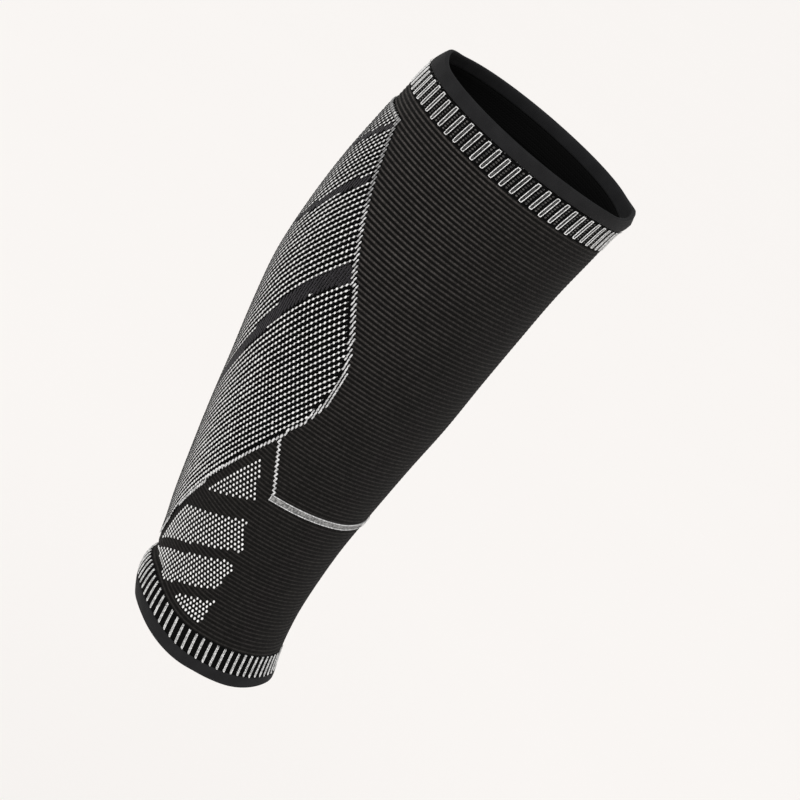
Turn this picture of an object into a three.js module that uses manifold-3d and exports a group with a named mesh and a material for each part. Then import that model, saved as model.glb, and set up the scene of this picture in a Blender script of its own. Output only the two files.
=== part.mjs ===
import * as THREE from "three";
import { mergeVertices } from "three/addons/utils/BufferGeometryUtils.js";
import Module from "manifold-3d";

// A knitted calf compression sleeve in its worn shape, in millimetres.
// +Z runs up the leg to the knee end, +X points to the shin and -X to the calf, and the sleeve is
// the same on its -Y and +Y sides. The origin is on the leg's axis, halfway up the sleeve.

// Driving dimensions
const sleeveLength = 320; // ankle rim to knee rim, along the leg
const calfDepth = 124; // shin to calf, over the knit, where the calf is fullest
const calfWidth = 113; // side to side at the same height
const ankleDepth = 82; // shin to tendon, over the knit
const ankleWidth = 80;
const calfSetback = 14.5; // how far the fullest section sits behind the leg's axis
const knitWall = 1.8;
const bandWall = 2.4; // the turned edge bands are two layers
const bandProud = 0.3; // how far an edge band stands out of the knit
const panelProud = 0.4; // how far the dotted panel stands out of the knit
const seamGap = 0.3; // clearance between neighbouring pieces
const kneeBandHeight = 9;
const kneeStripeLength = 13.5;
const ankleBandHeight = 8.8;
const ankleStripeLength = 12.5;
const stripeCount = 64; // raised stripes round each cuff
const stripeRelief = 0.5;
const stripeCorners = [0, 0.1, 0.5, 0.6]; // foot, top, top and foot of a stripe, as shares of its pitch

// How the worn edges sit
const kneeLean = 7.4; // the knee end sits this much higher behind than across the middle
const shinSag = 2.2; // and this much lower again right over the shin
const rimDrop = 2.2; // the knee rim runs lower along the sides than its seam does
const shinFlick = 1.2; // the rim's turned-up corner at the shin
const shinTuck = 3.2; // how far that corner is drawn in toward the leg
const ankleRise = 8.5; // the ankle end is drawn up over the tendon
const ankleSideRise = 2.5; // the ankle rim lifts off its seam along the sides
const ankleFrontRise = 2; // and this much more over the instep
const ankleHeelDrop = 1; // but drops below it behind
const cuffBulge = 0.4; // the ankle cuff swells out under the fold behind
const creaseDepth = 1.8; // the fold above the ankle cuff
const creaseDrop = 3; // from the cuff to the middle of the fold

// Where those shapes fade out, as shares of sleeveLength
const leanFrom = 0.31;
const leanTo = 0.93;
const tendonFrom = 0.09;
const tendonTo = 0.6;

// And round the leg, in degrees from the shin
const sagSpread = 30;
const cornerSpread = 13;
const tuckSpread = 22;
const rimFront = [8, 34];
const rimBack = [150, 178];
const tendonSide = [88, 152];
const heelSide = [80, 135];
const instepSide = [15, 60];
const foldSide = [105, 150];

// Leg sections, ankle rim first. at is a share of sleeveLength. depth and width run from 0 at the
// ankle's size to 1 at the calf's, and setback is a share of calfSetback.
const sections = [
  { at: -0.01, depth: -0.01, width: 0.13, setback: -0.16 },
  { at: 0.02, depth: 0.03, width: 0.16, setback: 0.06 },
  { at: 0.05, depth: 0.06, width: 0.18, setback: 0.29 },
  { at: 0.075, depth: 0.05, width: 0.13, setback: 0.39 },
  { at: 0.1, depth: 0.0, width: 0.02, setback: 0.4 },
  { at: 0.14, depth: 0.01, width: -0.02, setback: 0.5 },
  { at: 0.2, depth: 0.11, width: 0.03, setback: 0.67 },
  { at: 0.27, depth: 0.23, width: 0.13, setback: 0.8 },
  { at: 0.35, depth: 0.4, width: 0.29, setback: 0.88 },
  { at: 0.44, depth: 0.58, width: 0.49, setback: 0.93 },
  { at: 0.53, depth: 0.78, width: 0.71, setback: 0.97 },
  { at: 0.62, depth: 0.92, width: 0.87, setback: 1.01 },
  { at: 0.71, depth: 0.98, width: 0.96, setback: 0.91 },
  { at: 0.8, depth: 1.0, width: 0.99, setback: 0.73 },
  { at: 0.88, depth: 1.01, width: 1.01, setback: 0.46 },
  { at: 0.935, depth: 1.01, width: 1.02, setback: 0.25 },
  { at: 0.97, depth: 1.07, width: 1.1, setback: 0.02 },
  { at: 1.0, depth: 1.1, width: 1.14, setback: -0.2 },
  { at: 1.03, depth: 1.07, width: 1.1, setback: -0.5 },
];

// Border of the leaf-shaped calf panel, knee end first. at is a share of sleeveLength, and edge is
// the angle from the shin, in degrees, where the panel's border crosses that height.
const panelBorder = [
  { at: 0.9, edge: 149 },
  { at: 0.816, edge: 133.5 },
  { at: 0.742, edge: 119.3 },
  { at: 0.695, edge: 110 },
  { at: 0.649, edge: 101 },
  { at: 0.605, edge: 92.8 },
  { at: 0.575, edge: 89.2 },
  { at: 0.534, edge: 87 },
  { at: 0.479, edge: 90 },
  { at: 0.413, edge: 100.2 },
  { at: 0.358, edge: 111.2 },
  { at: 0.297, edge: 123.2 },
  { at: 0.245, edge: 133.1 },
  { at: 0.177, edge: 147.5 },
  { at: 0.123, edge: 161 },
  { at: 0.098, edge: 172 },
];

// Mesh density
const ringSegments = 72;
const legRows = 18; // up the outside of the leg tube
const liningRows = 10; // up its inside
const panelRows = 18;
const panelColumns = 20;

// Levels of the seams, measured up from the ankle rim before the edges are pulled out of level
const ankleCuffStart = ankleBandHeight;
const legStart = ankleCuffStart + ankleStripeLength;
const kneeBandStart = sleeveLength - kneeBandHeight;
const legEnd = kneeBandStart - kneeStripeLength;
const creaseLevel = legStart + creaseDrop;
const ankleRimFade = 1.35 * ankleCuffStart; // the rim's own shape is gone above this
const shinTuckStart = kneeBandStart + kneeBandHeight / 3;

const wasm = await Module();
wasm.setup();

const radians = THREE.MathUtils.degToRad;

function smoothStep(value, start, end) {
  const share = THREE.MathUtils.clamp((value - start) / (end - start), 0, 1);
  return share * share * (3 - 2 * share);
}

function bell(value, centre, spread) {
  return Math.exp(-(((value - centre) / spread) ** 2));
}

// A smooth curve through one column of a table, against its column at.
function alongTable(table, column, at) {
  const rising = table[0].at < table[table.length - 1].at;
  const rows = rising ? table : [...table].reverse();
  const place = THREE.MathUtils.clamp(at, rows[0].at, rows[rows.length - 1].at);
  let i = 0;
  while (i < rows.length - 2 && rows[i + 1].at < place) {
    i += 1;
  }
  const slopeAt = (j) => {
    const before = rows[Math.max(j - 1, 0)];
    const after = rows[Math.min(j + 1, rows.length - 1)];
    return (after[column] - before[column]) / (after.at - before.at);
  };
  const span = rows[i + 1].at - rows[i].at;
  const t = (place - rows[i].at) / span;
  const start = rows[i][column] * (1 + 2 * t) * (1 - t) ** 2;
  const end = rows[i + 1][column] * t * t * (3 - 2 * t);
  const bend = slopeAt(i) * t * (1 - t) ** 2 - slopeAt(i + 1) * t * t * (1 - t);
  return start + end + bend * span;
}

// Angle from the shin, 0 to 180 degrees, the same on both sides of the leg.
function degreesFromShin(turn) {
  return THREE.MathUtils.radToDeg(Math.acos(Math.cos(turn)));
}

// Height of the knit course that starts at this level, where it passes this side of the leg.
function courseHeight(level, turn) {
  const side = degreesFromShin(turn);
  const share = level / sleeveLength;
  const kneeShare = THREE.MathUtils.clamp((share - leanFrom) / (leanTo - leanFrom), 0, 1);
  const lean = kneeShare * (kneeLean * Math.cos(turn) + shinSag * bell(side, 0, sagSpread));
  const nearTendon = 1 - smoothStep(share, tendonFrom, tendonTo);
  const tendon = ankleRise * nearTendon * smoothStep(side, ...tendonSide);
  const nearAnkle = 1 - smoothStep(level, 0, ankleRimFade);
  const heel = (ankleSideRise + ankleHeelDrop) * smoothStep(side, ...heelSide);
  const instep = ankleFrontRise * (1 - smoothStep(side, ...instepSide));
  const nearKnee = smoothStep(level, kneeBandStart, sleeveLength);
  const drop = rimDrop * smoothStep(side, ...rimFront) * (1 - smoothStep(side, ...rimBack));
  const corner = shinFlick * bell(side, 0, cornerSpread) - drop;
  const rim = nearAnkle * (ankleSideRise - heel + instep) + nearKnee * corner;
  return level - lean + tendon + rim;
}

// A point on the sleeve, out millimetres outside the knit's outer face.
function pointOn(level, turn, out) {
  const height = courseHeight(level, turn);
  const side = degreesFromShin(turn);
  const at = height / sleeveLength;
  const depth = ankleDepth + (calfDepth - ankleDepth) * alongTable(sections, "depth", at);
  const width = ankleWidth + (calfWidth - ankleWidth) * alongTable(sections, "width", at);
  const centre = -calfSetback * alongTable(sections, "setback", at);
  const behind = smoothStep(side, ...foldSide);
  const bulge = cuffBulge * bell(level, legStart / 2, legStart / 2) * behind;
  const crease = creaseDepth * bell(level, creaseLevel, creaseDrop) * behind;
  const nearRim = smoothStep(level, shinTuckStart, sleeveLength);
  const tuck = shinTuck * nearRim * bell(side, 0, tuckSpread);
  const reach = out + bulge - crease - tuck;
  const x = centre + (depth / 2 + reach) * Math.cos(turn);
  const y = -(width / 2 + reach) * Math.sin(turn);
  return [x, y, height - sleeveLength / 2];
}

function meshGeometry(points, quads) {
  const indices = quads.flatMap(([a, b, c, d]) => [a, b, c, a, c, d]);
  const geometry = new THREE.BufferGeometry();
  geometry.setAttribute("position", new THREE.Float32BufferAttribute(points.flat(), 3));
  geometry.setIndex(indices);
  return geometry;
}

// A closed ring: loopAt(turn) gives the points [level, out] of its cross-section there, up the
// outside and down the inside, with the same number of points at every turn.
function ringGeometry(turns, loopAt) {
  const loops = turns.map((turn) => loopAt(turn).map(([level, out]) => pointOn(level, turn, out)));
  const count = loops[0].length;
  const quads = [];
  for (let i = 0; i < turns.length; i += 1) {
    const next = (i + 1) % turns.length;
    for (let j = 0; j < count; j += 1) {
      const k = (j + 1) % count;
      quads.push([i * count + j, i * count + k, next * count + k, next * count + j]);
    }
  }
  return meshGeometry(loops.flat(), quads);
}

function evenTurns(count) {
  return Array.from({ length: count }, (_, i) => (2 * Math.PI * i) / count);
}

// Levels from start to end, in equal steps.
function steps(start, end, count) {
  return Array.from({ length: count }, (_, i) => start + ((end - start) * i) / (count - 1));
}

// A turned hem from its seam to its rim: flat faces, and a round edge at the rim.
function edgeBand(seam, rim) {
  const up = Math.sign(rim - seam);
  const seamLevel = seam + (up * seamGap) / 2;
  const rimLevel = rim - (up * seamGap) / 2;
  const round = bandWall / 2;
  const nearRound = 0.3 * round; // how far the middle of the round lies off its square corner
  const chamfer = up * round * 0.5;
  const inner = bandProud - bandWall;
  const loop = [
    [seamLevel, bandProud - round * 0.5],
    [seamLevel + chamfer, bandProud],
    [rimLevel - up * round, bandProud],
    [rimLevel - up * nearRound, bandProud - nearRound],
    [rimLevel, bandProud - round],
    [rimLevel - up * nearRound, inner + nearRound],
    [rimLevel - up * round, inner],
    [seamLevel, inner],
  ];
  return ringGeometry(evenTurns(ringSegments), () => (up > 0 ? loop : loop.toReversed()));
}

// A knit cuff whose light stripes stand up from the dark ground, four points to each stripe.
function stripedCuff(start, end) {
  const low = start + seamGap / 2;
  const high = end - seamGap / 2;
  const turns = [];
  const raised = new Map();
  for (let i = 0; i < stripeCount; i += 1) {
    stripeCorners.forEach((share, corner) => {
      const turn = (2 * Math.PI * (i + share)) / stripeCount;
      turns.push(turn);
      raised.set(turn, corner === 1 || corner === 2 ? stripeRelief : 0);
    });
  }
  return ringGeometry(turns, (turn) => [
    [low, raised.get(turn)],
    [high, raised.get(turn)],
    [high, -knitWall],
    [low, -knitWall],
  ]);
}

function legTube() {
  const low = legStart + seamGap / 2;
  const high = legEnd - seamGap / 2;
  const foldLevels = [low, creaseLevel - creaseDrop / 2, creaseLevel, creaseLevel + creaseDrop];
  const legLevels = steps(creaseLevel + 3 * creaseDrop, high, legRows - foldLevels.length);
  const outside = [...foldLevels, ...legLevels].map((level) => [level, 0]);
  const inside = steps(high, low, liningRows).map((level) => [level, -knitWall]);
  return ringGeometry(evenTurns(ringSegments), () => [...outside, ...inside]);
}

// The leaf that wraps the back of the calf, from its border on one side round to the other.
// grow widens it all round, and outer and inner are its faces, measured from the knit's outer face.
function calfLeaf(grow, outer, inner) {
  const top = panelBorder[0].at * sleeveLength;
  const tip = panelBorder[panelBorder.length - 1].at * sleeveLength;
  const growTurn = grow / (ankleWidth / 4); // the border runs aslant, so this is wider than grow
  const points = [];
  const columns = steps(0, 1, panelColumns);
  for (const share of steps(0, 1, panelRows)) {
    const level = tip + (top - tip) * share;
    const edge = radians(alongTable(panelBorder, "edge", level / sleeveLength)) - growTurn;
    const grownLevel = level + grow * (2 * share - 1);
    for (const out of [outer, inner]) {
      for (const across of columns) {
        points.push(pointOn(grownLevel, edge + 2 * (Math.PI - edge) * across, out));
      }
    }
  }
  const index = (row, layer, column) => (row * 2 + layer) * panelColumns + column;
  const quads = [];
  for (let r = 0; r < panelRows - 1; r += 1) {
    for (let c = 0; c < panelColumns - 1; c += 1) {
      quads.push([index(r, 0, c), index(r + 1, 0, c), index(r + 1, 0, c + 1), index(r, 0, c + 1)]);
      quads.push([index(r, 1, c), index(r, 1, c + 1), index(r + 1, 1, c + 1), index(r + 1, 1, c)]);
    }
    const last = panelColumns - 1;
    quads.push([index(r, 1, 0), index(r + 1, 1, 0), index(r + 1, 0, 0), index(r, 0, 0)]);
    quads.push([index(r, 0, last), index(r + 1, 0, last), index(r + 1, 1, last), index(r, 1, last)]);
  }
  for (let c = 0; c < panelColumns - 1; c += 1) {
    const end = panelRows - 1;
    quads.push([index(0, 0, c), index(0, 0, c + 1), index(0, 1, c + 1), index(0, 1, c)]);
    quads.push([index(end, 0, c + 1), index(end, 0, c), index(end, 1, c), index(end, 1, c + 1)]);
  }
  return meshGeometry(points, quads);
}

function toSolid(geometry) {
  const merged = mergeVertices(geometry, 1e-4);
  return new wasm.Manifold(
    new wasm.Mesh({
      numProp: 3,
      vertProperties: merged.getAttribute("position").array,
      triVerts: new Uint32Array(merged.index.array),
    }),
  );
}

function subtract(body, cutter) {
  const cut = toSolid(body).subtract(toSolid(cutter)).getMesh();
  const geometry = new THREE.BufferGeometry();
  geometry.setAttribute("position", new THREE.BufferAttribute(cut.vertProperties, 3));
  geometry.setIndex(new THREE.BufferAttribute(cut.triVerts, 1));
  return geometry;
}

const blackKnit = new THREE.MeshStandardMaterial({ color: 0x26262a, roughness: 0.85, metalness: 0 });
const blackHem = new THREE.MeshStandardMaterial({ color: 0x1f2022, roughness: 0.7, metalness: 0 });
const stripedKnit = new THREE.MeshStandardMaterial({ color: 0x8d8d8c, roughness: 0.8, metalness: 0 });
const dottedKnit = new THREE.MeshStandardMaterial({ color: 0xb4b4b2, roughness: 0.8, metalness: 0 });

const sleeve = new THREE.Group();

function addPiece(name, geometry, material) {
  geometry.computeVertexNormals();
  const mesh = new THREE.Mesh(geometry, material.clone());
  mesh.name = name;
  sleeve.add(mesh);
}

const panelCutter = calfLeaf(seamGap, 3 * knitWall, -3 * knitWall);
addPiece("knee_edge_band", edgeBand(kneeBandStart, sleeveLength), blackHem);
addPiece("knee_striped_cuff", stripedCuff(legEnd, kneeBandStart), stripedKnit);
addPiece("leg_tube", subtract(legTube(), panelCutter), blackKnit);
addPiece("calf_panel", calfLeaf(0, panelProud, panelProud - knitWall), dottedKnit);
addPiece("ankle_striped_cuff", stripedCuff(ankleCuffStart, legStart), stripedKnit);
addPiece("ankle_edge_band", edgeBand(ankleCuffStart, 0), blackHem);

export default sleeve;
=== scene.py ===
import math
import bpy
import numpy as np
from mathutils import Matrix, Vector


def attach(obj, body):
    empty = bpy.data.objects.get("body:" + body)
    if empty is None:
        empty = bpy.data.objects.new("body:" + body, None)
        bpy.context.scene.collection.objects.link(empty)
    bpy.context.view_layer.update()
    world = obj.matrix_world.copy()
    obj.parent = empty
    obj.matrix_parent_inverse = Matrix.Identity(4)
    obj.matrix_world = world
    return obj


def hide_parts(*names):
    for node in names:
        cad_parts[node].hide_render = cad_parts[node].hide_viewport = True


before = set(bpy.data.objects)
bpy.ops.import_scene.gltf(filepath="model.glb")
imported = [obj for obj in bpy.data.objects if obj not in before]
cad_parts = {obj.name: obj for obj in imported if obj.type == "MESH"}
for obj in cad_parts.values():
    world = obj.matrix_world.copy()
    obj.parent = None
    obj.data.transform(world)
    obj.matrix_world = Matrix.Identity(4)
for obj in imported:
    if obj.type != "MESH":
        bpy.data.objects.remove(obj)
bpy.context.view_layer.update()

# The camera: a long lens that looks a little down on the sleeve's outer side, rolled so that the
# sleeve leans across the frame, knee end at the upper right, as in the photograph.
VIEW_DOWN = math.radians(16.87)
VIEW_ROLL = math.radians(33.948)
VIEW_DISTANCE = 1.2
FOCAL_LENGTH, SENSOR_WIDTH = 108.34, 36
AIM_ACROSS, AIM_UP, AIM_HEIGHT = 0.01625, 0.00544, 0.0024
across_view = Vector((1, 0, 0))
up_view = Vector((0, math.sin(VIEW_DOWN), math.cos(VIEW_DOWN)))
toward_lens = Vector((0, -math.cos(VIEW_DOWN), math.sin(VIEW_DOWN)))
frame_middle = AIM_ACROSS * across_view + AIM_UP * up_view + Vector((0, 0, AIM_HEIGHT))
frame_right = math.cos(VIEW_ROLL) * across_view + math.sin(VIEW_ROLL) * up_view
frame_up = math.cos(VIEW_ROLL) * up_view - math.sin(VIEW_ROLL) * across_view
lens = bpy.data.cameras.new("photo_camera")
lens.sensor_width = SENSOR_WIDTH
lens.lens = FOCAL_LENGTH
camera = bpy.data.objects.new("photo_camera", lens)
bpy.context.scene.collection.objects.link(camera)
camera_axes = Matrix((frame_right, frame_up, toward_lens)).transposed().to_4x4()
camera.matrix_world = Matrix.Translation(frame_middle + VIEW_DISTANCE * toward_lens) @ camera_axes
bpy.context.scene.camera = camera

# The leg tube: black nylon and elastane, knitted on a circular machine, with fine ribs that run
# round it. It is one wall with no seam, stretched as it is when worn, and it leaves a leaf-shaped
# opening behind, which the dotted calf panel fills. Sizes are in millimetres.
SLEEVE_LENGTH = 320
CALF_DEPTH, CALF_WIDTH, CALF_SETBACK = 124, 113, 14.5
ANKLE_DEPTH, ANKLE_WIDTH = 82, 80
ANKLE_BAND, ANKLE_STRIPE = 8.8, 12.5
KNEE_BAND, KNEE_STRIPE = 9, 13.5
LEG_START = ANKLE_BAND + ANKLE_STRIPE
KNEE_BAND_START = SLEEVE_LENGTH - KNEE_BAND
LEG_END = KNEE_BAND_START - KNEE_STRIPE
KNIT_WALL = 1.7
KNEE_LEAN, SHIN_SAG, RIM_DROP, SHIN_FLICK, SHIN_TUCK = 7.4, 2.2, 2.2, 1.2, 3.2
ANKLE_RISE, ANKLE_SIDE_RISE, ANKLE_FRONT_RISE, ANKLE_HEEL_DROP = 8.5, 2.5, 2, 1
CUFF_BULGE, CREASE_DEPTH, CREASE_DROP = 0.4, 1.8, 3
CREASE_LEVEL = LEG_START + CREASE_DROP
ANKLE_RIM_FADE = 1.35 * ANKLE_BAND
SHIN_TUCK_START = KNEE_BAND_START + KNEE_BAND / 3
WALES = 256
RIB_RELIEF = 0.5
FAINT_RIBS, STRONG_RIBS = 0.33, 0.85
LINING_RELIEF = 0.4

# Where the shapes of the worn edges fade out: lengthwise in shares of the sleeve's length, and
# round it in degrees from the front.
LEAN_FROM, LEAN_TO = 0.31, 0.93
TENDON_FROM, TENDON_TO = 0.09, 0.6
SAG_SPREAD, CORNER_SPREAD, TUCK_SPREAD = 30, 13, 22
RIM_FRONT, RIM_BACK = (8, 34), (150, 178)
TENDON_SIDE, HEEL_SIDE, INSTEP_SIDE, FOLD_SIDE = (88, 152), (80, 135), (15, 60), (105, 150)

# The sleeve's sections, ankle end first, at shares of its length. depth and width are 0 for the
# ankle sizes above and 1 for the calf sizes, and setback is a share of CALF_SETBACK.
SECTIONS = {
    "at": [-0.01, 0.02, 0.05, 0.075, 0.1, 0.14, 0.2, 0.27, 0.35, 0.44, 0.53, 0.62, 0.71, 0.8,
           0.88, 0.935, 0.97, 1.0, 1.03],
    "depth": [-0.01, 0.03, 0.06, 0.05, 0.0, 0.01, 0.11, 0.23, 0.4, 0.58, 0.78, 0.92, 0.98, 1.0,
              1.01, 1.01, 1.07, 1.1, 1.07],
    "width": [0.13, 0.16, 0.18, 0.13, 0.02, -0.02, 0.03, 0.13, 0.29, 0.49, 0.71, 0.87, 0.96, 0.99,
              1.01, 1.02, 1.1, 1.14, 1.1],
    "setback": [-0.16, 0.06, 0.29, 0.39, 0.4, 0.5, 0.67, 0.8, 0.88, 0.93, 0.97, 1.01, 0.91, 0.73,
                0.46, 0.25, 0.02, -0.2, -0.5],
}
# The calf panel's border, ankle end first: share of the length, and degrees from the front.
PANEL_BORDER = {
    "at": [0.098, 0.123, 0.177, 0.245, 0.297, 0.358, 0.413, 0.479, 0.534, 0.575, 0.605, 0.649,
           0.695, 0.742, 0.816, 0.9],
    "edge": [172, 161, 147.5, 133.1, 123.2, 111.2, 100.2, 90, 87, 89.2, 92.8, 101, 110, 119.3,
             133.5, 149],
}
# Height of one rib: least at the ankle end, greatest about three quarters of the way up.
RIB_PITCH = {"level": [21.3, 75, 190, 245, 281, 297.5], "pitch": [2.1, 2.18, 2.36, 2.42, 2.24, 2.2]}


def along(table, column, at):
    """A smooth curve through one column of a table."""
    places, values = np.array(table["at"]), np.array(table[column])
    slopes = np.empty(len(places))
    slopes[1:-1] = (values[2:] - values[:-2]) / (places[2:] - places[:-2])
    slopes[0] = (values[1] - values[0]) / (places[1] - places[0])
    slopes[-1] = (values[-1] - values[-2]) / (places[-1] - places[-2])
    at = np.clip(at, places[0], places[-1])
    i = np.clip(np.searchsorted(places, at) - 1, 0, len(places) - 2)
    span = places[i + 1] - places[i]
    t = (at - places[i]) / span
    bend = slopes[i] * t * (1 - t) ** 2 - slopes[i + 1] * t * t * (1 - t)
    return values[i] * (1 + 2 * t) * (1 - t) ** 2 + values[i + 1] * t * t * (3 - 2 * t) + bend * span


def smooth_step(value, start, end):
    share = np.clip((value - start) / (end - start), 0, 1)
    return share * share * (3 - 2 * share)


def bell(value, centre, spread):
    return np.exp(-(((value - centre) / spread) ** 2))


def degrees_from_shin(turn):
    return np.degrees(np.arccos(np.cos(turn)))


def course_height(level, turn):
    """Height of this level's knit course at this turn. A worn course slopes as it goes round."""
    side = degrees_from_shin(turn)
    share = level / SLEEVE_LENGTH
    knee_share = np.clip((share - LEAN_FROM) / (LEAN_TO - LEAN_FROM), 0, 1)
    lean = knee_share * (KNEE_LEAN * np.cos(turn) + SHIN_SAG * bell(side, 0, SAG_SPREAD))
    near_tendon = 1 - smooth_step(share, TENDON_FROM, TENDON_TO)
    tendon = ANKLE_RISE * near_tendon * smooth_step(side, *TENDON_SIDE)
    near_ankle = 1 - smooth_step(level, 0, ANKLE_RIM_FADE)
    heel = (ANKLE_SIDE_RISE + ANKLE_HEEL_DROP) * smooth_step(side, *HEEL_SIDE)
    instep = ANKLE_FRONT_RISE * (1 - smooth_step(side, *INSTEP_SIDE))
    near_knee = smooth_step(level, KNEE_BAND_START, SLEEVE_LENGTH)
    drop = RIM_DROP * smooth_step(side, *RIM_FRONT) * (1 - smooth_step(side, *RIM_BACK))
    corner = SHIN_FLICK * bell(side, 0, CORNER_SPREAD) - drop
    rim = near_ankle * (ANKLE_SIDE_RISE - heel + instep) + near_knee * corner
    return level - lean + tendon + rim


def on_leg(level, turn, out):
    """Points on the sleeve, in metres, out millimetres outside the knit's outer face."""
    height = course_height(level, turn)
    side = degrees_from_shin(turn)
    at = height / SLEEVE_LENGTH
    depth = ANKLE_DEPTH + (CALF_DEPTH - ANKLE_DEPTH) * along(SECTIONS, "depth", at)
    width = ANKLE_WIDTH + (CALF_WIDTH - ANKLE_WIDTH) * along(SECTIONS, "width", at)
    centre = -CALF_SETBACK * along(SECTIONS, "setback", at)
    behind = smooth_step(side, *FOLD_SIDE)
    bulge = CUFF_BULGE * bell(level, LEG_START / 2, LEG_START / 2) * behind
    crease = CREASE_DEPTH * bell(level, CREASE_LEVEL, CREASE_DROP) * behind
    tuck = SHIN_TUCK * smooth_step(level, SHIN_TUCK_START, SLEEVE_LENGTH) * bell(side, 0, TUCK_SPREAD)
    reach = out + bulge - crease - tuck
    x = centre + (depth / 2 + reach) * np.cos(turn)
    y = -(width / 2 + reach) * np.sin(turn)
    return np.stack([x, y, height - SLEEVE_LENGTH / 2], -1) / 1000


def panel_edge(level):
    return np.radians(along(PANEL_BORDER, "edge", level / SLEEVE_LENGTH))


# Ribs are counted from the ankle cuff up: how many lie below each of a row of close levels.
LEVELS_COUNTED = 1200
rib_levels = np.linspace(LEG_START, LEG_END, LEVELS_COUNTED)
rib_counts = np.cumsum(1 / np.interp(rib_levels, RIB_PITCH["level"], RIB_PITCH["pitch"]))
rib_counts -= rib_counts[0]
RIBS = round(rib_counts[-1] * (rib_levels[1] - rib_levels[0]))
rib_counts *= RIBS / rib_counts[-1]


def rib_level(rib):
    return np.interp(rib, rib_counts, rib_levels)


def rib_at(level):
    return np.interp(level, rib_levels, rib_counts)


def rib_groove(rib):
    """0 on the crest of a rib, and 1 in the narrow groove before it."""
    return (0.5 + 0.5 * np.cos(2 * np.pi * rib)) ** 1.6


def flat_blank(name, columns, rows):
    """A flat knit blank, columns across and rows up, and each corner's column and row number."""
    bpy.ops.object.select_all(action="DESELECT")
    bpy.ops.mesh.primitive_grid_add(x_subdivisions=columns, y_subdivisions=rows, size=1)
    blank = bpy.context.object
    blank.name = blank.data.name = name
    corners = np.empty(len(blank.data.vertices) * 3)
    blank.data.vertices.foreach_get("co", corners)
    corners = corners.reshape(-1, 3)
    column = np.rint((corners[:, 0] + 0.5) * columns).astype(int)
    row = np.rint((corners[:, 1] + 0.5) * rows).astype(int)
    return blank, column, row


def keep_values(blank, **values):
    """Stores a number for each corner, which the modifiers carry over to what they add."""
    for name, numbers in values.items():
        kept = blank.data.attributes.new(name, "FLOAT", "POINT")
        kept.data.foreach_set("value", np.asarray(numbers, dtype=np.float32))


def kept_values(blank, name):
    numbers = np.empty(len(blank.data.vertices), dtype=np.float32)
    blank.data.attributes[name].data.foreach_get("value", numbers)
    return numbers.astype(float)


def wrap_on_leg(blank, level, turn, out):
    blank.data.vertices.foreach_set("co", on_leg(level, turn, out).astype(np.float32).ravel())
    blank.data.update()


def count_stitches(blank, turn, course):
    """A UV map in stitches: wales round the sleeve, and courses up it."""
    loops = np.empty(len(blank.data.loops), dtype=int)
    blank.data.loops.foreach_get("vertex_index", loops)
    stitches = np.stack([-turn / (2 * np.pi) * WALES, course], -1)
    uv_map = blank.data.uv_layers.active
    uv_map.data.foreach_set("uv", stitches[loops].astype(np.float32).ravel())
    uv_map.name = "stitches"


def take_out(blank, unwanted):
    """Deletes the faces that the list marks."""
    bpy.ops.object.mode_set(mode="EDIT")
    bpy.ops.mesh.select_mode(type="FACE")
    bpy.ops.mesh.select_all(action="DESELECT")
    bpy.ops.object.mode_set(mode="OBJECT")
    blank.data.polygons.foreach_set("select", unwanted)
    bpy.ops.object.mode_set(mode="EDIT")
    bpy.ops.mesh.delete(type="FACE")
    bpy.ops.object.mode_set(mode="OBJECT")


def close_seam(blank):
    """Joins the edges of a wrapped blank where they meet."""
    bpy.ops.object.mode_set(mode="EDIT")
    bpy.ops.mesh.select_mode(type="VERT")
    bpy.ops.mesh.select_all(action="SELECT")
    bpy.ops.mesh.remove_doubles(threshold=0.00001)
    bpy.ops.object.mode_set(mode="OBJECT")


def give_wall(blank, wall, lining_relief):
    """Gives a wrapped blank its thickness, with this share of its outer relief on the inside."""
    outer_count = len(blank.data.vertices)
    solidify = blank.modifiers.new("wall", "SOLIDIFY")
    solidify.thickness = wall / 1000
    solidify.offset = -1
    bpy.ops.object.modifier_apply(modifier="wall")
    level, turn, out = (kept_values(blank, name) for name in ("level", "turn", "out"))
    inside = np.arange(len(level)) >= outer_count
    out = np.where(inside, lining_relief * out - wall, out)
    wrap_on_leg(blank, level, turn, out)
    for name in ("level", "turn", "out"):
        blank.data.attributes.remove(blank.data.attributes[name])
    bpy.ops.object.shade_smooth()


def rib_depth(level, turn):
    """How strongly the ribs stand out: most behind near the top, least in front and lower down."""
    # The shader also reads this: higher values give more painted shade in the grooves and a lighter
    # painted highlight on the crests.
    behind = smooth_step(degrees_from_shin(turn), 30, 115)
    return FAINT_RIBS + (STRONG_RIBS - FAINT_RIBS) * behind * smooth_step(level, 90, 260)


# The blank has a column of corners along the panel's border, so that the opening has a clean edge.
SIDE_COLUMNS, BACK_COLUMNS = 46, 18
ROWS_TO_RIB = 4
border_column = SIDE_COLUMNS + BACK_COLUMNS
tube, column, row = flat_blank("leg_tube_ribbed_knit", 2 * border_column, RIBS * ROWS_TO_RIB)
rib = row / ROWS_TO_RIB
level = rib_level(rib)
panel_first = math.ceil(rib_at(SLEEVE_LENGTH * PANEL_BORDER["at"][0]))
panel_last = math.floor(rib_at(SLEEVE_LENGTH * PANEL_BORDER["at"][-1]))
edge = panel_edge(level)
steps_from_shin = column - border_column
side_share = np.minimum(np.abs(steps_from_shin) / SIDE_COLUMNS, 1)
back_share = np.maximum(np.abs(steps_from_shin) - SIDE_COLUMNS, 0) / BACK_COLUMNS
turn = -np.sign(steps_from_shin) * (side_share * edge + back_share * (np.pi - edge))
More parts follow.
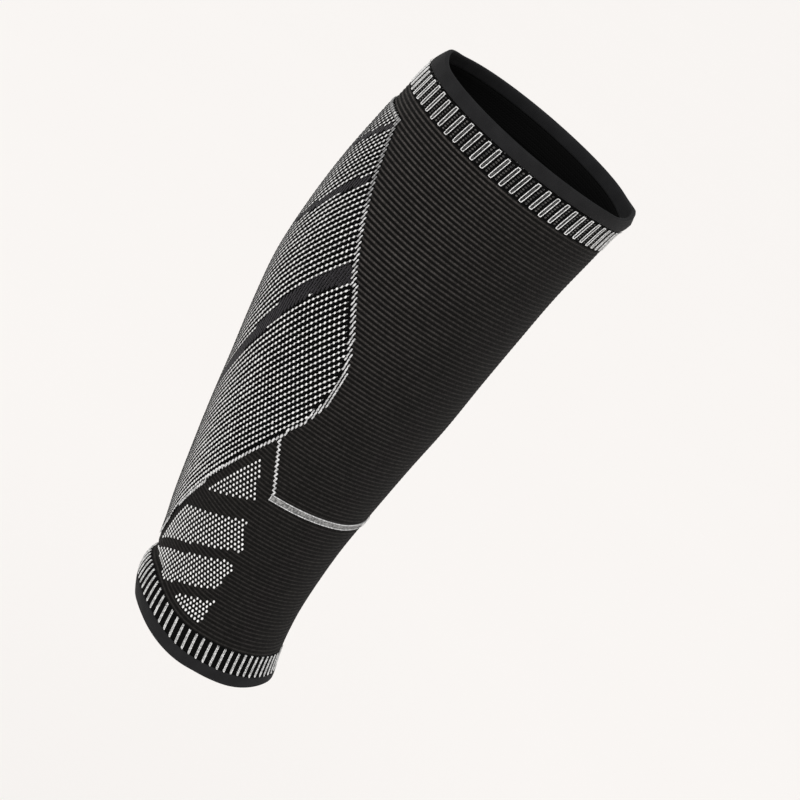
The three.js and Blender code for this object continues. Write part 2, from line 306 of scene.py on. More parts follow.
# The depth shapes the ribs, and also sets how much painted shade and highlight the shader gives them.
depth = rib_depth(level, turn)
out = -RIB_RELIEF * depth * rib_groove(rib)
keep_values(tube, level=level, turn=turn, out=out, rib_depth=depth)
wrap_on_leg(tube, level, turn, out)
count_stitches(tube, turn, rib * 2)
face_corners = np.empty(len(tube.data.loops), dtype=int)
tube.data.loops.foreach_get("vertex_index", face_corners)
face_corners = face_corners.reshape(-1, 4)
behind_border = np.abs(steps_from_shin)[face_corners].min(axis=1) >= SIDE_COLUMNS
face_rib = rib[face_corners].mean(axis=1)
take_out(tube, behind_border & (face_rib > panel_first) & (face_rib < panel_last))
close_seam(tube)
give_wall(tube, KNIT_WALL, LINING_RELIEF)


class Yarn:
    """A socket of a material, so that shader maths on it reads as plain expressions."""

    def __init__(self, tree, socket):
        self.tree = tree
        self.socket = socket

    def node(self, kind, settings, inputs, output=0):
        made = self.tree.nodes.new(kind)
        for name, value in settings.items():
            setattr(made, name, value)
        for name, value in inputs.items():
            if isinstance(value, Yarn):
                self.tree.links.new(value.socket, made.inputs[name])
            else:
                made.inputs[name].default_value = value
        return Yarn(self.tree, made.outputs[output])

    def beside(self, output):
        """Another output of the same node."""
        return Yarn(self.tree, self.socket.node.outputs[output])

    def maths(self, operation, *values):
        return self.node("ShaderNodeMath", {"operation": operation}, dict(enumerate(values)))

    def __add__(self, other):
        return self.maths("ADD", self, other)

    def __sub__(self, other):
        return self.maths("SUBTRACT", self, other)

    def __rsub__(self, other):
        return self.maths("SUBTRACT", other, self)

    def __mul__(self, other):
        return self.maths("MULTIPLY", self, other)

    def __pow__(self, other):
        return self.maths("POWER", self, other)

    __radd__ = __add__
    __rmul__ = __mul__

    def part(self):
        """What is left over the whole number."""
        return self.maths("FRACT", self)

    def size(self):
        """The number without its sign."""
        return self.maths("ABSOLUTE", self)

    def wave(self):
        """The sine of this many whole turns."""
        return self.maths("SINE", self * (2 * math.pi))

    def clear(self, start, end):
        """0 up to start, 1 from end, and smooth between them."""
        return self.node("ShaderNodeMapRange", {"interpolation_type": "SMOOTHSTEP"},
                         {"Value": self, "From Min": start, "From Max": end})

    def between(self, low_colour, high_colour):
        """The first colour where this is 0, the second where it is 1, and a mix between them."""
        return self.node("ShaderNodeMix", {"data_type": "RGBA"},
                         {0: self, 6: low_colour, 7: high_colour}, output=2)


def start_material(name, roughness, sheen):
    """A material with its shader, and the wire that every other node of it is called from."""
    material = bpy.data.materials.new(name)
    material.use_nodes = True
    shader = material.node_tree.nodes["Principled BSDF"]
    shader.inputs["Roughness"].default_value = roughness
    shader.inputs["Sheen Weight"].default_value = sheen
    shader.inputs["Sheen Roughness"].default_value = 0.5
    shader.inputs["Specular IOR Level"].default_value = 0.1
    return material, shader, Yarn(material.node_tree, shader.outputs[0])


def finish_material(shader, yarn, colour, height, depth):
    """Wires the colour and the relief, depth metres deep, to a material's shader."""
    bump = yarn.node("ShaderNodeBump", {}, {"Strength": 1.0, "Distance": depth, "Height": height})
    yarn.tree.links.new(colour.socket, shader.inputs["Base Color"])
    yarn.tree.links.new(bump.socket, shader.inputs["Normal"])


def rgb(red, green, blue):
    """A colour as the eye reads it, from 0 to 255, turned to the light that the shader takes."""
    return tuple((value / 255) ** 2.2 for value in (red, green, blue)) + (1,)


def noise(yarn, scale, detail):
    """Soft unevenness that lies still on the object. A higher scale is finer."""
    coords = yarn.node("ShaderNodeTexCoord", {}, {}, output="Object")
    return yarn.node("ShaderNodeTexNoise", {}, {"Vector": coords, "Scale": scale, "Detail": detail})


def knit_stitches(yarn):
    """Courses counted up the sleeve, and the relief of the V stitches, from 0 between them to 1."""
    uv = yarn.node("ShaderNodeUVMap", {"uv_map": "stitches"}, {})
    wale = yarn.node("ShaderNodeSeparateXYZ", {}, {0: uv})
    course = wale.beside("Y")
    from_middle = (wale.part() * 2 - 1).size()
    leg_of_stitch = (course + from_middle * 0.55).wave() * 0.5 + 0.5
    return course, leg_of_stitch * (1 - from_middle ** 5)


def ribbed_knit(name, crest, groove, sheen):
    """Plain ribbed knit: small V stitches, painted shade in the grooves and between stitches, a little
    fuzz and mottle.
    """
    material, shader, yarn = start_material(name, 0.85, sheen)
    course, stitch = knit_stitches(yarn)
    depth = yarn.node("ShaderNodeAttribute", {"attribute_name": "rib_depth"}, {}, output=2)
    # Painted light: each rib's crest gets a painted highlight and its groove painted shade, both stronger
    # where the ribs are deeper.
    lit_crest_mask = 0.5 - 0.5 * (course * 0.5 + 0.25).wave()
    shaded_groove_level = (1 - depth) * 0.12
    painted_rib_light = shaded_groove_level + (depth - shaded_groove_level) * lit_crest_mask.clear(0.3, 1.0)
    mottle = (0.75 + 0.5 * noise(yarn, 60.0, 2.0)) * (0.7 + 0.6 * noise(yarn, 620.0, 1.0).clear(0.3, 0.7))
    # The stitch relief darkens the colour between the V stitches as painted shade; the mottle is uneven
    # tone.
    colour = (painted_rib_light * (0.6 + 0.4 * stitch) * mottle).between(groove, crest)
    fuzz = noise(yarn, 1400.0, 2.0)
    finish_material(shader, yarn, colour, stitch * 0.8 + fuzz * 0.5, 0.00018)
    return material


# The light crest colour is the painted highlight, and the near-black groove colour the painted shade.
black_rib = ribbed_knit("black_ribbed_knit", rgb(76, 73, 71), rgb(6, 5, 4), 0.02)
tube.data.materials.append(black_rib)
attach(tube, "root")
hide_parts("leg_tube")

# The calf panel: the leaf-shaped zone behind, knitted in one with the tube, a little proud of it.
# White yarn comes through on every other stitch, with black stitches between, and thin floats link
# the dots. Three plain black bands cross it in a V, and light stitches step along its border.
PANEL_PROUD = 0.3
BEAD_SINK = 0.06
PANEL_COLUMNS = 48
WIDE_BORDER_FROM = 150
panel_rows = (panel_last - panel_first) * ROWS_TO_RIB
panel, column, row = flat_blank("calf_panel_ground_knit", PANEL_COLUMNS, panel_rows)
rib = panel_first + row / ROWS_TO_RIB
level = rib_level(rib)
across = 1 - 2 * column / PANEL_COLUMNS
turn = np.pi + across * (np.pi - panel_edge(level))
out = PANEL_PROUD - 0.5 * RIB_RELIEF * rib_groove(rib)
# An even depth: even ribs, with an even painted shade in the grooves.
keep_values(panel, level=level, turn=turn, out=out, rib_depth=np.full(len(level), 0.5))
wrap_on_leg(panel, level, turn, out)
count_stitches(panel, turn, rib * 2)
give_wall(panel, KNIT_WALL, LINING_RELIEF)
# The panel's knit also has a painted highlight on its crests and painted shade in its grooves.
black_ground = ribbed_knit("black_panel_knit", rgb(18, 17, 18), rgb(3, 3, 3), 0.0)
panel.data.materials.append(black_ground)


def dome(half_width, half_length, height, straight=0, segments=8):
    """A low oval bead of yarn that lies on the knit. A straight stretch makes it longer."""
    bpy.ops.object.select_all(action="DESELECT")
    bpy.ops.mesh.primitive_uv_sphere_add(segments=segments, ring_count=4, radius=1)
    bead = bpy.context.object
    bpy.ops.object.mode_set(mode="EDIT")
    bpy.ops.mesh.select_all(action="SELECT")
    bpy.ops.mesh.bisect(plane_co=(0, 0, 0.001), plane_no=(0, 0, 1), use_fill=True, clear_inner=True)
    bpy.ops.mesh.select_all(action="SELECT")
    bpy.ops.transform.resize(value=(half_width, half_length, height))
    if straight:
        bpy.ops.mesh.bisect(plane_co=(0, 0, 0), plane_no=(0, 1, 0))
    bpy.ops.object.mode_set(mode="OBJECT")
    for corner in bead.data.vertices:
        if straight and abs(corner.co.y) > 1e-4:
            corner.co.y += math.copysign(straight, corner.co.y)
    return bead


# How far to either side of a bead the knit's slope is taken: radians round, millimetres up.
NUDGE_ROUND, NUDGE_UP = 0.01, 0.5


def sew(name, bead, level, turn, out, stretch=1, widen=1, twist=0):
    """One mesh of copies of a bead, each laid on the knit at its level and turn. The bead goes."""
    level, turn, out, stretch, widen, twist = (
        np.atleast_1d(value)[:, None] * np.ones((len(level), 1))
        for value in (level, turn, out, stretch, widen, twist)
    )
    shape = np.array([corner.co for corner in bead.data.vertices])
    faces = [tuple(face.vertices) for face in bead.data.polygons]
    bpy.data.objects.remove(bead)
    beside, ahead, above = shape[:, 0] * widen, shape[:, 1] * stretch, shape[:, 2]
    sideways = beside * np.cos(twist) - ahead * np.sin(twist)
    upward = beside * np.sin(twist) + ahead * np.cos(twist)
    round_leg = on_leg(level, turn + NUDGE_ROUND, out) - on_leg(level, turn - NUDGE_ROUND, out)
    mm_to_turn = 2 * NUDGE_ROUND / (np.linalg.norm(round_leg, axis=-1) * 1000)
    up_leg = on_leg(level + NUDGE_UP, turn, out) - on_leg(level - NUDGE_UP, turn, out)
    mm_to_level = 2 * NUDGE_UP / (np.linalg.norm(up_leg, axis=-1) * 1000)
    corners = on_leg(level + upward * mm_to_level, turn - sideways * mm_to_turn, out + above)
    starts = range(0, len(shape) * len(level), len(shape))
    all_faces = [tuple(start + corner for corner in face) for start in starts for face in faces]
    mesh = bpy.data.meshes.new(name)
    mesh.from_pydata(corners.reshape(-1, 3), [], all_faces)
    mesh.shade_smooth()
    piece = bpy.data.objects.new(name, mesh)
    bpy.context.scene.collection.objects.link(piece)
    return piece


def both_sides(turn):
    """The turns of one side of the sleeve, and the same on the other."""
    return np.concatenate([turn, -turn])


# Middle lines of the black bands, from the border to the middle of the back: degrees from the
# front, height above the ankle end, and half the band's width there.
PANEL_BANDS = [
    {"at": [140, 148, 171, 180], "height": [295.5, 287.5, 264.5, 256], "half": [1.6, 1.6, 1.6, 1.6]},
    {"at": [128, 135, 147, 155, 168, 180], "height": [271, 262, 246, 234, 219, 206],
     "half": [2.0, 2.0, 1.9, 1.8, 1.6, 1.5]},
    {"at": [104, 112, 124, 133, 142, 153, 180], "height": [234, 222, 204.5, 187, 168, 148, 104],
     "half": [4.2, 4.1, 3.6, 3.1, 2.8, 2.4, 2.0]},
]
DOTS_ROUND = WALES / 2
dot_step = 2 * np.pi / DOTS_ROUND


def panel_places(apart, stagger):
    """Places on the near side of the panel, one row to a rib, and which lie in a black band."""
    ribs = np.arange(panel_first, panel_last)
    places = np.arange(math.ceil(math.pi / apart))
    rib, place = (grid.ravel() for grid in np.meshgrid(ribs, places, indexing="ij"))
    level = rib_level(rib + 0.5)
    turn = np.pi - apart * (place + stagger * (rib % 2) / 2)
    inside = turn > panel_edge(level) + np.where(level > WIDE_BORDER_FROM, 0.9, 0.25) * dot_step
    level, turn = level[inside], turn[inside]
    height, degrees = course_height(level, turn), np.degrees(turn)
    in_band = np.zeros(len(level), dtype=bool)
    for band in PANEL_BANDS:
        middle = np.interp(degrees, band["at"], band["height"])
        half = np.interp(degrees, band["at"], band["half"])
        slope = np.interp(degrees + 1, band["at"], band["height"]) - middle
        in_band |= np.abs(height - middle) < half * np.hypot(1, slope)
    return level, turn, in_band


def yarn_finish(name, light, dark, roughness, sheen=0.2):
    """Bare raised yarn: fine twisted strands, with a little unevenness from stitch to stitch."""
    material, shader, yarn = start_material(name, roughness, sheen)
    colour = noise(yarn, 900.0, 1.0).clear(0.35, 0.65).between(dark, light)
    strands = noise(yarn, 2600.0, 1.0)
    finish_material(shader, yarn, colour, strands, 0.00008)
    return material


rng = np.random.default_rng(7)


def uneven(count, amount):
    """Sizes that vary a little from stitch to stitch, the same in each run."""
    return 1 + amount * rng.uniform(-1, 1, count)


white_yarn = yarn_finish("white_yarn", rgb(250, 250, 249), rgb(214, 214, 213), 0.6)
black_yarn = yarn_finish("black_yarn", rgb(41, 39, 43), rgb(31, 29, 32), 0.8)
level, turn, in_band = panel_places(dot_step, stagger=1)
level, turn = np.tile(level[~in_band], 2), both_sides(turn[~in_band])
count = len(level)
# Every stitch leans a little, and tilts more or less than that. Toward the back the knit is
# stretched most: there the white stitches are drawn out longer, and lie flatter in it.
DOT_LEAN, DOT_TILT, FLATTENING = 0.26, 0.26, 0.12
lean = np.where(turn > 0, -DOT_LEAN, DOT_LEAN)
drawn_out = smooth_step(degrees_from_shin(turn), 118, 150) * (1 - smooth_step(level, 235, 265))
flattened = smooth_step(degrees_from_shin(turn), 122, 158)
bead_out = PANEL_PROUD - BEAD_SINK - FLATTENING * flattened
dots = sew("calf_panel_white_stitches", dome(0.53, 0.92, 0.3), level, turn, bead_out,
           uneven(count, 0.16) + 0.25 * drawn_out, uneven(count, 0.16),
           lean * (1 + 0.6 * drawn_out) + DOT_TILT * rng.uniform(-1, 1, count))
dots.data.materials.append(white_yarn)
link_turn = turn - np.sign(turn) * dot_step / 4
link_level = rib_level(rib_at(level) + 0.5)
links = sew("calf_panel_grey_links", dome(0.18, 0.8, 0.14, segments=6), link_level,
            link_turn, bead_out, 1, 0.8 + 1.6 * drawn_out * (1 - 0.5 * flattened), 2.1 * lean)
link_yarn = yarn_finish("link_yarn", rgb(196, 196, 195), rgb(116, 116, 115), 0.7)
links.data.materials.append(link_yarn)
ground_dots = sew("calf_panel_ground_stitches", dome(0.5, 1.0, 0.36, segments=6), level,
                  turn - np.sign(turn) * dot_step / 2, np.full(count, PANEL_PROUD - BEAD_SINK))
ground_yarn = yarn_finish("ground_yarn", rgb(11, 11, 12), rgb(3, 3, 3), 0.85, sheen=0)
ground_dots.data.materials.append(ground_yarn)
level, turn, in_band = panel_places(dot_step / 2, stagger=0)
level, turn = np.tile(level[in_band], 2), both_sides(turn[in_band])
count = len(level)
dark_dots = sew("calf_panel_black_stitches", dome(0.62, 1.7, 0.2), level, turn,
                np.full(count, PANEL_PROUD - BEAD_SINK), uneven(count, 0.06), uneven(count, 0.1))
dark_dots.data.materials.append(black_yarn)

# Light stitches follow the border, one to each wale that it crosses, and a second line of them runs
# inside the first along its upper part. Near the top corner, and across the top, they are grey.
GREY_BORDER_FROM = 250
wale_step = 2 * np.pi / WALES
border_level, border_turn = [], []
for rib in range(panel_first, panel_last):
    wide = int(rib_level(rib) > WIDE_BORDER_FROM)
    crossed = np.sort(panel_edge(rib_level(np.array([rib, rib + 1])))) / wale_step
    low, high = np.rint(crossed).astype(int)
    for wale in range(low, max(high, low + 1) + wide):
        border_level.append(float(rib_level(rib + 0.5)))
        border_turn.append((wale + (1 - wide) * 0.35) * wale_step)
border_level, border_turn = np.array(border_level), np.array(border_turn)
in_grey = border_level > GREY_BORDER_FROM
panel_high = rib_level(panel_last)
top_turn = np.arange(panel_edge(panel_high), np.pi, wale_step)
top_level = np.append(border_level[in_grey], np.full(len(top_turn), panel_high - 1.2))
top_turn = np.append(border_turn[in_grey], top_turn)
border_level, border_turn = np.tile(border_level[~in_grey], 2), both_sides(border_turn[~in_grey])
count = len(border_level)
lower_part = 1 - smooth_step(border_level, 135, 165)
border = sew("calf_panel_white_border", dome(0.46, 0.6, 0.42, 0.75), border_level,
             border_turn, np.full(count, PANEL_PROUD - 0.05), uneven(count, 0.1),
             (1 + 0.3 * lower_part) * uneven(count, 0.15), np.where(border_turn > 0, -0.12, 0.12))
border_yarn = yarn_finish("border_yarn", rgb(226, 226, 226), rgb(168, 168, 168), 0.65)
border.data.materials.append(border_yarn)
count = 2 * len(top_level)
top_edge = sew("calf_panel_grey_border", dome(0.5, 0.6, 0.4, 0.6), np.tile(top_level, 2),
               both_sides(top_turn), np.full(count, PANEL_PROUD - 0.05), uneven(count, 0.1))
grey_yarn = yarn_finish("grey_yarn", rgb(172, 172, 172), rgb(116, 116, 116), 0.7)
top_edge.data.materials.append(grey_yarn)
for piece in (panel, dots, links, ground_dots, dark_dots, border, top_edge):
    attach(piece, "root")
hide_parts("calf_panel")

# The lower dotted blocks: four separate patches of the same white yarn on each side, near the ankle
# end, knitted into the leg tube, with round dots and no links. Corners of each block: height above
# the ankle end, and degrees from the front.
BLOCKS_TOP = 130
FIRST_DOT = 28
BLOCKS = [
    [(117, 102.0), (84.5, 127), (97.5, 93)],
    [(70, 136), (86, 92), (70, 85), (42, 157)],
    [(36.6, 158), (62, 90.5), (61.5, 86), (58, 85), (45.6, 89.9), (29.8, 131), (33, 142)],
    [(27.6, 115), (30.6, 113.5), (39.4, 87), (25.2, 88)],
]


def inside_block(height, degrees, corners):
    """Whether each place lies inside the block, by how often a line from it crosses the edge."""
    crossed = np.zeros(len(height), dtype=bool)
    for (height_a, degrees_a), (height_b, degrees_b) in zip(corners, corners[1:] + corners[:1]):
        spans = (height_a > height) != (height_b > height)
        slope = (degrees_b - degrees_a) / (height_b - height_a + 1e-9)
        crossed ^= spans & (degrees < degrees_a + (height - height_a) * slope)
    return crossed


block_ribs = np.arange(math.ceil(rib_at(BLOCKS_TOP)))
rib_grid, turn_grid = np.meshgrid(block_ribs, np.arange(FIRST_DOT, DOTS_ROUND / 2), indexing="ij")
block_level = rib_level(rib_grid + 0.5).ravel()
block_turn = ((turn_grid + 0.5 * (rib_grid % 2)) * dot_step).ravel()
block_height = course_height(block_level, block_turn)
in_block = np.zeros(len(block_level), dtype=bool)
for corners in BLOCKS:
    in_block |= inside_block(block_height, np.degrees(block_turn), corners)
block_level, block_turn = np.tile(block_level[in_block], 2), both_sides(block_turn[in_block])
count = len(block_level)
blocks = sew("ankle_dotted_blocks", dome(0.6, 0.8, 0.4), block_level, block_turn,
             np.full(count, -0.05), uneven(count, 0.1), uneven(count, 0.1))
blocks.data.materials.append(white_yarn)
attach(blocks, "root")

# The grey accent line, of yarn knitted in: it leaves the panel's border as a zigzag of single
# stitches, drops down the side, and turns into a flat band that goes round the front.
ZIGZAG = {"level": [104, 131], "degrees": [85.2, 98.8]}
ZIGZAG_START = 106
zigzag_ribs = np.arange(rib_at(ZIGZAG_START), rib_at(ZIGZAG["level"][1]), 0.5)
zigzag_level = rib_level(zigzag_ribs)
zigzag_turn = np.radians(np.interp(zigzag_level, ZIGZAG["level"], ZIGZAG["degrees"]))
crossing = np.tile(np.arange(len(zigzag_ribs)) % 2, 2)
zigzag_twist = np.where(crossing, 1.25, -0.3)
zigzag_twist[len(zigzag_ribs):] *= -1
zigzag = sew("shin_accent_zigzag", dome(0.54, 0.6, 0.45, 0.9), np.tile(zigzag_level, 2),
             both_sides(zigzag_turn), np.full(2 * len(zigzag_level), -0.05), 1 - 0.45 * crossing,
             1 - 0.3 * crossing, zigzag_twist)
zigzag.data.materials.append(border_yarn)
BAND_WIDTH, BAND_THICKNESS, BAND_CROWN, BAND_END = 3.4, 0.8, 0.22, 86.5
BAND_COLUMNS, BAND_ROWS = 120, 8
band, column, row = flat_blank("shin_accent_band", BAND_COLUMNS, BAND_ROWS)
band_degrees = BAND_END * (1 - 2 * column / BAND_COLUMNS)
band_turn = np.radians(band_degrees)


def band_height(degrees):
    return np.interp(np.abs(degrees), [0, 12, 33, 87], [105.9, 105.5, 104.3, 103.5])


across = (row / BAND_ROWS - 0.5) * 2
band_level = band_height(band_degrees) + across * BAND_WIDTH / 2
band_out = BAND_CROWN * (1 - across ** 4)
keep_values(band, level=band_level, turn=band_turn, out=band_out)
wrap_on_leg(band, band_level, band_turn, band_out)
count_stitches(band, band_turn, band_level / 0.6)
give_wall(band, BAND_THICKNESS, 1)
dim_yarn = yarn_finish("dim_yarn", rgb(150, 150, 149), rgb(92, 92, 92), 0.75)
band.data.materials.append(dim_yarn)
LONG_STITCHES, END_STITCHES = 130, 5
along_edge = np.linspace(-BAND_END, BAND_END, LONG_STITCHES)
up_end = np.linspace(-0.9, 0.9, END_STITCHES)
rim_degrees = np.concatenate([along_edge, along_edge, np.repeat([-BAND_END, BAND_END], END_STITCHES)])
rim_across = np.concatenate([np.repeat([-1, 1], LONG_STITCHES), up_end, up_end])
rim_level = band_height(rim_degrees) + rim_across * (BAND_WIDTH / 2 - 0.2)
rim_twist = np.where(np.arange(len(rim_degrees)) < 2 * LONG_STITCHES, math.pi / 2, 0)
band_rim = sew("shin_accent_band_edges", dome(0.3, 0.8, 0.3), rim_level,
               np.radians(rim_degrees), np.full(len(rim_level), 0.06), twist=rim_twist)
band_rim.data.materials.append(border_yarn)
for piece in (zigzag, band, band_rim):
    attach(piece, "root")

# The knee cuff: a ring of plain black knit with raised light stripes that run lengthwise, each a
# narrow loop of two wales with its ends closed, round a low grey strip that is painted shade for the
# groove between the wales. Dark stitches show between the stripes, and a few flecks of the same grey
# yarn along the seam with the hem.
STRIPES = 64
CUFF_SINK = 0.25
RING_COLUMNS, CUFF_ROWS = 192, 8
COURSE_HEIGHT = 1.1


def plain_ring(name, low, high):
    """A closed ring of plain knit between two levels, a little lower than its stripes."""
    ring, column, row = flat_blank(name, RING_COLUMNS, CUFF_ROWS)
    level = low + (high - low) * row / CUFF_ROWS
    turn = -2 * np.pi * column / RING_COLUMNS
    out = np.full(len(level), -CUFF_SINK)
    # A shallow depth: faint ribs, with faint painted shade in the grooves.
    keep_values(ring, level=level, turn=turn, out=out, rib_depth=np.full(len(level), 0.3))
    wrap_on_leg(ring, level, turn, out)
    count_stitches(ring, turn, level / COURSE_HEIGHT)
    close_seam(ring)
    give_wall(ring, KNIT_WALL, 0)
    return ring


STITCHES_UP = 11
END_UNEVENNESS = 0.35


def cuff_stripes(name, bead, low, high, apart, proud, slant=0.2, upright=0, ends=False):
    """Wales of stitches round a cuff. apart, a share of the stripes' pitch, is how far the two wales
    of a stripe lie from each other: 0 makes one wale. Seen from the side they run straight, and
    upright is the share of their slope that is taken out. With ends, a stitch across closes each
    end of a stripe."""
    stripe, side, place = (
        grid.ravel() for grid in
        np.meshgrid(np.arange(STRIPES), [-1, 1] if apart else [0], np.linspace(-1, 1, STITCHES_UP))
    )
    middle = (low + high) / 2 + END_UNEVENNESS * rng.uniform(-1, 1, STRIPES)[stripe]
    level = middle + place * (high - low) / 2
    closing = 1 - 0.12 * np.abs(place) ** 14
    turn = 2 * np.pi / STRIPES * (stripe + 0.5 + side * closing * apart / 2)
    x, y = on_leg(level, turn, 0)[:, :2].T
    x_low, x_high = (on_leg(np.full(len(turn), end), turn, 0)[:, 0] for end in (low, high))
    from_middle = ((level - low) / (high - low) - 0.5) * (x_high - x_low)
    straight_x = (x_low + x_high) / 2 + (1 - upright) * from_middle
    turn = turn + (straight_x - x) * y / (y ** 2 + 0.02 ** 2)
    twist = slant * side + 0.08 * rng.uniform(-1, 1, len(level))
    if ends:
        at_end = (np.abs(place) == 1) & (side == 1)
        end_turn = turn[at_end] - np.pi / STRIPES * closing[at_end] * apart
        level, turn = np.append(level, level[at_end] + 0.5 * place[at_end]), np.append(turn, end_turn)
        twist = np.append(twist, np.full(at_end.sum(), np.pi / 2))
    count = len(level)
    return sew(name, bead, level, turn, np.full(count, proud), uneven(count, 0.1),
               uneven(count, 0.12), twist)


knee_cuff = plain_ring("knee_cuff_ground_knit", LEG_END, KNEE_BAND_START)
knee_cuff.data.materials.append(black_ground)
stripe_foot, stripe_top = LEG_END + 1.2, KNEE_BAND_START - 1.5
knee_wales = cuff_stripes("knee_cuff_stripe_wales", dome(0.25, 0.82, 0.4), stripe_foot,
                          stripe_top, 0.3, -0.15, 0.1, ends=True)
stripe_yarn = yarn_finish("stripe_yarn", rgb(252, 252, 251), rgb(212, 212, 211), 0.65)
knee_wales.data.materials.append(stripe_yarn)
# A low grey strip between each stripe's two wales: painted shade for the groove between them.
knee_groove_shade_strips = cuff_stripes("knee_cuff_stripe_groove_shade", dome(0.42, 0.8, 0.16), stripe_foot,
                          stripe_top, 0, -0.2)
groove_shade_and_fleck_yarn = yarn_finish("groove_shade_and_fleck_yarn", rgb(78, 78, 78), rgb(30, 30, 30), 0.8)
knee_groove_shade_strips.data.materials.append(groove_shade_and_fleck_yarn)
beads_up = 8
bead_turn = np.repeat(2 * np.pi * np.arange(STRIPES) / STRIPES, beads_up)
bead_level = np.tile(np.linspace(LEG_END + 1.6, KNEE_BAND_START - 1.8, beads_up), STRIPES)
knee_beads = sew("knee_cuff_dark_stitches", dome(0.6, 0.52, 0.26), bead_level, bead_turn,
                 np.full(len(bead_level), -0.22))
dark_yarn = yarn_finish("dark_yarn", rgb(88, 86, 84), rgb(40, 40, 40), 0.85)
knee_beads.data.materials.append(dark_yarn)
FLECKS = 90
fleck_turn = rng.uniform(0, 2 * np.pi, FLECKS)
fleck_level = KNEE_BAND_START - rng.uniform(-0.6, 0.2, FLECKS)
flecks = sew("knee_cuff_flecks", dome(0.22, 0.3, 0.16), fleck_level, fleck_turn,
             np.full(FLECKS, 0.25), uneven(FLECKS, 0.5), uneven(FLECKS, 0.4))
flecks.data.materials.append(groove_shade_and_fleck_yarn)
for piece in (knee_cuff, knee_wales, knee_groove_shade_strips, knee_beads, flecks):
    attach(piece, "root")
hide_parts("knee_striped_cuff")

# The knee edge band: a smooth black hem, turned over double, with a rounded rim that flicks up
# in front. It is finer and denser than the ribbed knit.
BAND_WALL, BAND_PROUD = 2.4, 0.3


def hem_section(cuff, rim):
    """A hem's cross-section between its cuff and its rim, as points of level and out. It runs up
    the outside and down the inside, so that the faces point outwards."""
    up = 1 if rim > cuff else -1
    face, lining = BAND_PROUD, BAND_PROUD - BAND_WALL
    outside = [(0, face - 0.6), (0.2, face - 0.15), (0.7, face), (2.2, face + 0.05),
               (4.4, face + 0.05)]
    round_rim = [(2.4, face + 0.05), (1.5, face - 0.05), (1.2, face), (0.7, face - 0.05),
                 (0.25, face - 0.4), (0, face - 1.2), (0.25, lining + 0.5), (0.9, lining + 0.1),
                 (3, lining)]
    inside = [(1, lining), (0, lining + 0.3)]
    section = [(cuff + up * away, out) for away, out in outside]
    section += [(rim - up * away, out) for away, out in round_rim]
    section += [(cuff + up * away, out) for away, out in inside]
    return section[::up]


def hem(name, cuff, rim):
    """A closed ring of the hem's cross-section."""
    section = hem_section(cuff, rim)
    ring, column, row = flat_blank(name, RING_COLUMNS, len(section))
    level, out = np.array(section + section[:1])[row].T
    turn = -2 * np.pi * column / RING_COLUMNS
    wrap_on_leg(ring, level, turn, out)
    count_stitches(ring, turn, level / COURSE_HEIGHT)
    close_seam(ring)
    bpy.ops.object.shade_smooth()
    return ring


def smooth_knit(name, light, dark):
    """Dense plain knit of the hems: fine even stitches that read as matte cloth."""
    material, shader, yarn = start_material(name, 0.8, 0.02)
    course, stitch = knit_stitches(yarn)
    patch = noise(yarn, 120.0, 3.0).clear(0.3, 0.7)
    # The stitch relief darkens the colour between the stitches as painted shade; the patches are uneven
    # tone.
    colour = (patch * 0.6 + 0.4 * stitch).between(dark, light)
    finish_material(shader, yarn, colour, stitch, 0.00008)
    return material


knee_band = hem("knee_edge_hem", KNEE_BAND_START, SLEEVE_LENGTH)
black_hem = smooth_knit("black_hem_knit", rgb(40, 40, 41), rgb(33, 33, 34))
knee_band.data.materials.append(black_hem)
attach(knee_band, "root")
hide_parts("knee_edge_band")

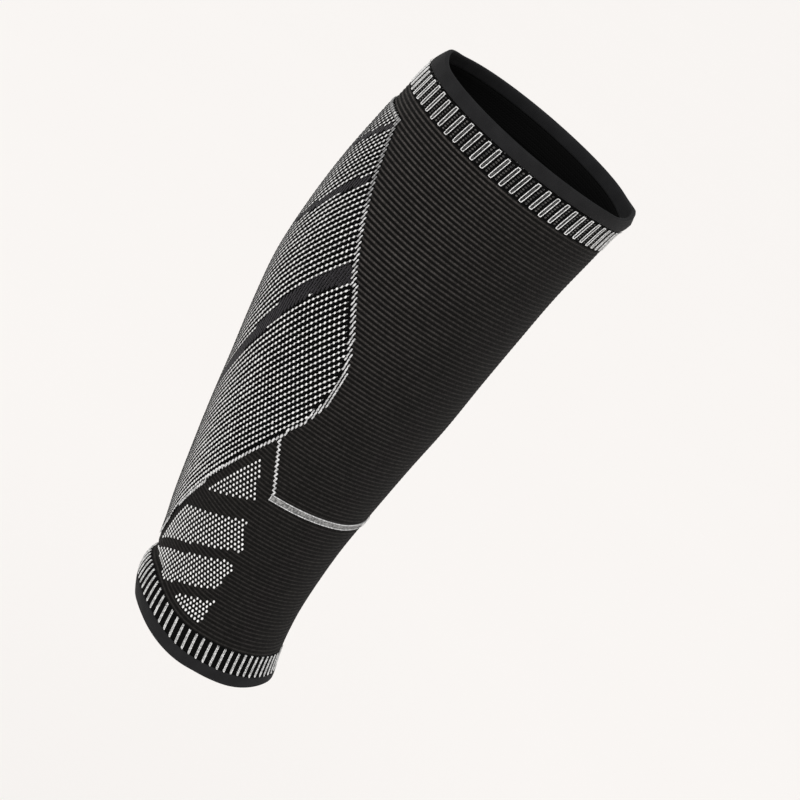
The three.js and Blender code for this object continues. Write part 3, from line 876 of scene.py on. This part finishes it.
# The ankle cuff: the same striped knit as at the knee end, drawn in closer, so that the stripes
# stand nearer to each other and their two wales close up into one light bar.
ankle_cuff = plain_ring("ankle_cuff_ground_knit", ANKLE_BAND, LEG_START)
ankle_cuff.data.materials.append(black_ground)
stripe_foot, stripe_top = ANKLE_BAND + 1.0, LEG_START - 1.0
ankle_wales = cuff_stripes("ankle_cuff_stripe_wales", dome(0.3, 0.8, 0.45), stripe_foot,
                           stripe_top, 0.15, -0.15, 0.3, 0.6)
ankle_yarn = yarn_finish("ankle_stripe_yarn", rgb(240, 240, 239), rgb(176, 176, 175), 0.65)
ankle_wales.data.materials.append(ankle_yarn)
ankle_fills = cuff_stripes("ankle_cuff_stripe_filling", dome(0.3, 0.8, 0.3), stripe_foot,
                           stripe_top, 0, -0.15, 0, 0.6)
ankle_fills.data.materials.append(dim_yarn)
for piece in (ankle_cuff, ankle_wales, ankle_fills):
    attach(piece, "root")
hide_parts("ankle_striped_cuff")

# The ankle edge band: the same smooth black hem, turned over double at the narrow end. Its rim is
# drawn up behind.
ankle_band = hem("ankle_edge_hem", ANKLE_BAND, 0)
ankle_band.data.materials.append(black_hem)
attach(ankle_band, "root")
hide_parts("ankle_edge_band")

# The studio: a pale floor far below the sleeve, one wide soft light from above in front, and pale
# light all round.
FLOOR_SIZE, FLOOR_LEVEL = 60, -0.8
bpy.ops.object.select_all(action="DESELECT")
bpy.ops.mesh.primitive_grid_add(x_subdivisions=8, y_subdivisions=8, size=FLOOR_SIZE,
                                location=(0, 0, FLOOR_LEVEL))
floor = bpy.context.object
floor.name = "studio_floor"
bpy.ops.object.transform_apply(location=True)
paint, shader, yarn = start_material("floor_paper", 0.9, 0.0)
grain = noise(yarn, 3.0, 2.0)
paper_colour = grain.between((0.93, 0.905, 0.885, 1), (0.94, 0.915, 0.895, 1))
finish_material(shader, yarn, paper_colour, grain, 0.0001)
shader.inputs["Emission Color"].default_value = (1, 0.975, 0.955, 1)
shader.inputs["Emission Strength"].default_value = 0.07
floor.data.materials.append(paint)
sun = bpy.data.lights.new("wide_soft_light", "SUN")
sun.energy = 2.4
sun.angle = math.radians(40)
sun_lamp = bpy.data.objects.new("wide_soft_light", sun)
bpy.context.scene.collection.objects.link(sun_lamp)
light_from = Vector((-0.02, -0.66, 0.68))
sun_lamp.rotation_euler = light_from.to_track_quat("Z", "Y").to_euler()
world = bpy.data.worlds.new("pale_room")
world.use_nodes = True
world.node_tree.nodes["Background"].inputs["Color"].default_value = (1.0, 0.99, 0.98, 1)
world.node_tree.nodes["Background"].inputs["Strength"].default_value = 0.4
bpy.context.scene.world = world
bpy.context.scene.view_settings.view_transform = "Standard"
